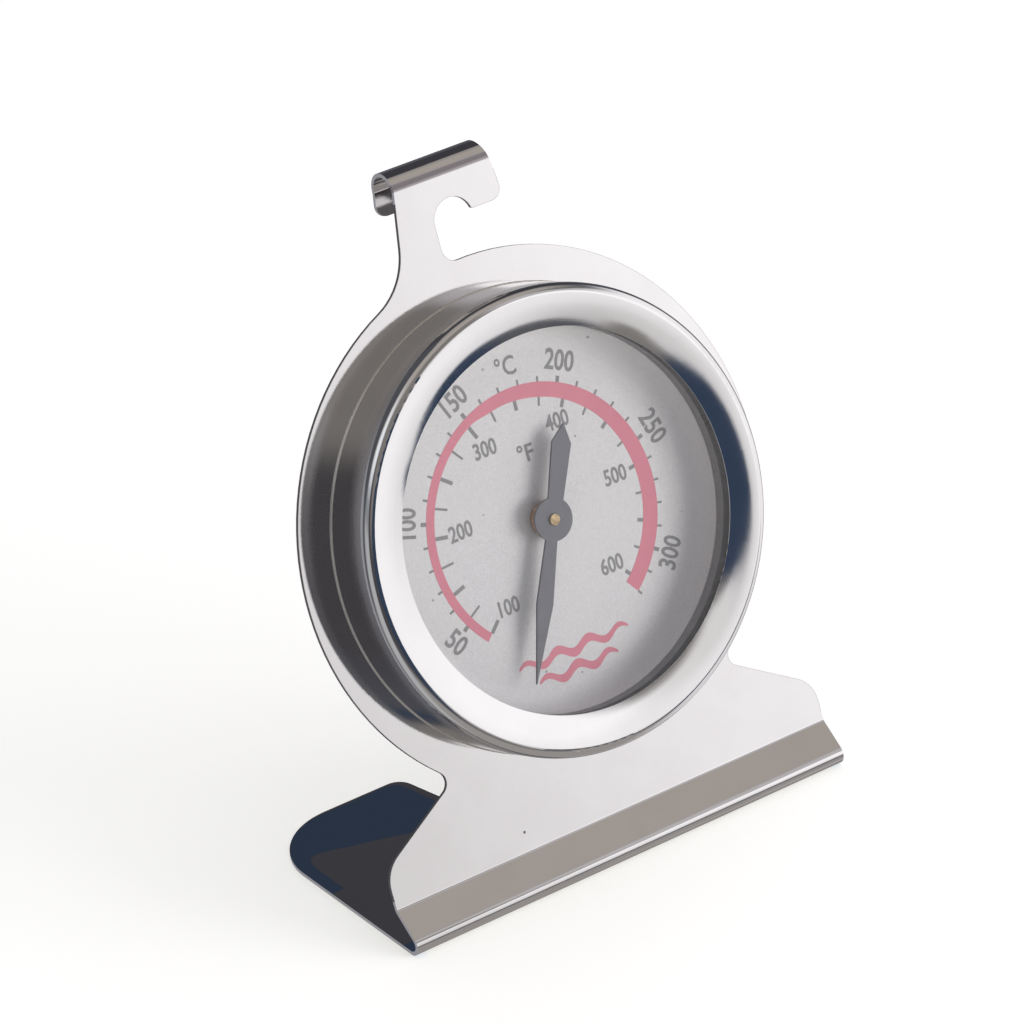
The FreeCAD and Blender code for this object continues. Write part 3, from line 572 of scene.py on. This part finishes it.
def make_skirt_edge():
    """The bezel's skirt ends in a fine burnished edge, close to the plate."""
    mesh, round_parts, tube_parts = bmesh.new(), 240, 8
    rings = []
    for i in range(round_parts):
        turn = 360.0 * i / round_parts
        ring = []
        for k in range(tube_parts):
            angle = 2 * math.pi * k / tube_parts
            ring.append(mesh.verts.new((*on_dial(turn, SKIRT_EDGE_RADIUS + SKIRT_EDGE * math.cos(angle)),
                                        SKIRT_EDGE_HEIGHT + SKIRT_EDGE * math.sin(angle))))
        rings.append(ring)
    for i, ring in enumerate(rings):
        after = rings[(i + 1) % round_parts]
        for k in range(tube_parts):
            j = (k + 1) % tube_parts
            mesh.faces.new((ring[k], ring[j], after[j], after[k]))
    for face in mesh.faces:
        face.smooth = True
    mat = steel("rolled_edge", grey(0.92, (1.0, 0.97, 0.92)), grey(0.85, (1.0, 0.96, 0.90)), 0.30, 0.08,
                "round", 0.1, 0.0)
    finish_piece("bezel_skirt_edge", mesh, mat, 0.0)


# ---------------------------------------------------------------- studio
FLOOR_GLOW = 0.49        # the floor is a table lit from below, so that shadows on it stay faint
FLOOR_REACH = 2.0        # m each way
FILL = 0.545             # strength of the soft light from all round
KEY_AZIMUTH, KEY_ELEVATION, KEY_POWER = 35, 6, 5.4          # degrees, then W
KEY_DISTANCE, KEY_SIZE, KEY_COLOR = 0.9, (0.54, 0.38), (1.0, 0.985, 0.965)      # m, m
# The colours of the cards that the steel mirrors.
ROOM, DARK = (0.082, 0.086, 0.100, 1.0), (0.0500, 0.0490, 0.0560, 1.0)
CHARCOAL, NAVY = (0.070, 0.065, 0.070, 1.0), (0.036, 0.054, 0.094, 1.0)
GROUND, BEHIND = (0.335, 0.315, 0.302, 1.0), (0.325, 0.325, 0.350, 1.0)
CEILING_LEFT, CEILING_RIGHT = (0.42, 0.385, 0.350, 1.0), (0.33, 0.310, 0.290, 1.0)
BROWN, LEFT_GREY = (0.222, 0.208, 0.198, 1.0), (0.470, 0.475, 0.482, 1.0)
LEFT_SOFTBOX, RIGHT_WALL = (0.90, 0.93, 0.97, 1.0), (1.02, 0.995, 1.01, 1.0)
LOW_RIGHT, ABOVE_SOFTBOX = (0.76, 0.745, 0.755, 1.0), (0.54, 0.52, 0.53, 1.0)
SOFTBOX_DIM, SOFTBOX_BRIGHT = (0.75, 0.73, 0.73, 1.0), (1.08, 1.06, 1.07, 1.0)


def make_world():
    """A pale room for the eye and for soft light, and a studio of cards for what the steel mirrors."""
    world = bpy.data.worlds.new("studio")
    bpy.context.scene.world = world
    t = Tree(world)
    toward = t.node("ShaderNodeTexCoord").outputs["Generated"]
    x, y, z = t.node("ShaderNodeSeparateXYZ", {0: toward}).outputs
    around = t.math("MULTIPLY", t.math("ARCTAN2", x, t.math("MULTIPLY", y, -1.0)), 180 / math.pi)
    rise = t.math("MULTIPLY", t.math("ARCSINE", z), 180 / math.pi)

    def span(given, low, high, soft_low, soft_high):
        return t.math("MULTIPLY", t.step(given, low - soft_low, low + soft_low),
                      t.step(given, high + soft_high, high - soft_high))

    def card(base, color, left, right, low, high, soft=(3, 3, 3, 3)):
        """Lay a card with soft edges over what is there: azimuths, then elevations, in degrees."""
        inside = t.math("MULTIPLY", span(around, left, right, soft[0], soft[1]),
                        span(rise, low, high, soft[2], soft[3]))
        return t.mix(inside, base, color)

    def lozenge(base, color, azimuth, elevation, wide, tall, soft):
        """Lay a card with its corners to the left and right of its middle, above it and below it."""
        across = t.math("MULTIPLY", t.math("ABSOLUTE", t.math("SUBTRACT", around, azimuth)), 1 / wide)
        up = t.math("MULTIPLY", t.math("ABSOLUTE", t.math("SUBTRACT", rise, elevation)), 1 / tall)
        return t.mix(t.step(t.math("ADD", across, up), 1 + soft, 1 - soft), base, color)

    color = card(ROOM, GROUND, -98, 200, -91, -18, (10, 3, 3, 7))
    behind = t.math("MULTIPLY", t.step(t.math("ABSOLUTE", around), 148, 156), span(rise, -65, 14, 8, 5))
    color = t.mix(behind, color, BEHIND)
    color = card(color, BEHIND, -200, -112, -95, 14, (3, 10, 3, 5))
    color = card(color, DARK, 112, 150, -28, 0, (5, 4, 5, 5))
    above = t.math("MULTIPLY", span(around, -102, 200, 10, 3), t.step(rise, 34.0, 50.0))
    above = t.math("MULTIPLY", above, t.step(y, 0.20, 0.15))
    color = t.mix(above, color, t.mix(t.step(around, 78.0, 96.0), CEILING_LEFT, CEILING_RIGHT))
    color = card(color, BROWN, -45, 38, 14, 55, (8, 6, 6, 4))
    color = card(color, LEFT_GREY, -88, -42, -66, 24, (10, 7, 8, 8))
    color = card(color, LEFT_SOFTBOX, -88, -40, 34, 66, (14, 10, 12, 12))
    color = card(color, CHARCOAL, -42, 14, -9, 17, (5, 5, 5, 5))
    color = card(color, CHARCOAL, -44, -24, -9, 40, (4, 6, 5, 6))
    color = card(color, RIGHT_WALL, 42, 104, -30, 31, (4, 8, 8, 6))
    color = card(color, LOW_RIGHT, 50, 104, -50, -24, (4, 8, 5, 10))
    color = card(color, ABOVE_SOFTBOX, 32, 50, 20, 45, (2, 4, 2, 4))
    softbox = t.mix(t.step(around, 25.0, 33.0), SOFTBOX_DIM, SOFTBOX_BRIGHT)
    dimmer = t.step(rise, -12.0, 8.0, 0.78, 1.06)
    softbox = t.node("ShaderNodeVectorMath", {0: softbox, "Scale": dimmer}, operation="SCALE").outputs[0]
    color = card(color, softbox, 16, 55, -10.3, 21.3, (1.5, 6, 0.8, 1.8))
    color = card(color, BROWN, 10, 21.5, -14, -4.5, (2, 1.5, 2, 2))
    color = lozenge(color, NAVY, 5, 6.8, 20.5, 20, 0.09)
    color = card(color, NAVY, 34, 47, -18, -9.3, (2, 1, 5, 0.6))
    color = card(color, NAVY, 46, 54, -18, -7.3, (1, 3, 5, 0.6))
    color = card(color, DARK, 108, 182, 22, 66, (2, 3, 2, 4))
    mirrored = t.node("ShaderNodeBackground", {0: color, 1: 1.0}).outputs[0]
    pale = t.node("ShaderNodeBackground", {0: (1.0, 1.0, 1.0, 1.0), 1: 1.0}).outputs[0]
    from_right = t.math("MULTIPLY_ADD", x, 0.75 * FILL, FILL)
    fill = t.node("ShaderNodeBackground", {0: (0.97, 0.965, 1.06, 1.0), 1: from_right}).outputs[0]
    path = t.node("ShaderNodeLightPath").outputs
    seen = t.node("ShaderNodeMixShader", {0: path["Is Camera Ray"], 1: fill, 2: pale}).outputs[0]
    made = t.node("ShaderNodeMixShader", {0: path["Is Glossy Ray"], 1: seen, 2: mirrored})
    t.node("ShaderNodeOutputWorld", {0: made.outputs[0]})
    world.cycles.sampling_method = "NONE"


def make_key_light():
    """A soft rectangle at the front right, seen by nothing that mirrors."""
    data = bpy.data.lights.new("key", "AREA")
    data.shape, data.size, data.size_y = "RECTANGLE", *KEY_SIZE
    data.energy, data.color = KEY_POWER, KEY_COLOR
    light = bpy.data.objects.new("key", data)
    bpy.context.scene.collection.objects.link(light)
    toward = direction(KEY_AZIMUTH, KEY_ELEVATION)
    light.matrix_world = (Matrix.Translation(CENTRE + toward * KEY_DISTANCE)
                          @ (-toward).to_track_quat("-Z", "Y").to_matrix().to_4x4())
    light.visible_glossy = False
    light.visible_camera = False


def make_floor():
    data = bpy.data.meshes.new("floor")
    reach = FLOOR_REACH
    data.from_pydata([(-reach, -reach, 0), (reach, -reach, 0), (reach, reach, 0), (-reach, reach, 0)],
                     [], [(0, 1, 2, 3)])
    floor = bpy.data.objects.new("floor", data)
    bpy.context.scene.collection.objects.link(floor)
    data.materials.append(floor_material())
    floor.visible_glossy = False
    floor.visible_shadow = False


make_camera()
set_materials()
red_ink = coated("red_ink", *RED_INK, 0.5)
grey_ink = coated("grey_ink", *GREY_INK, 0.5)
make_band(red_ink)
make_ticks(grey_ink)
make_numerals(grey_ink)
make_waves(red_ink)
make_skirt_edge()
make_world()
make_key_light()
make_floor()
bpy.context.scene.view_settings.view_transform = "Standard"
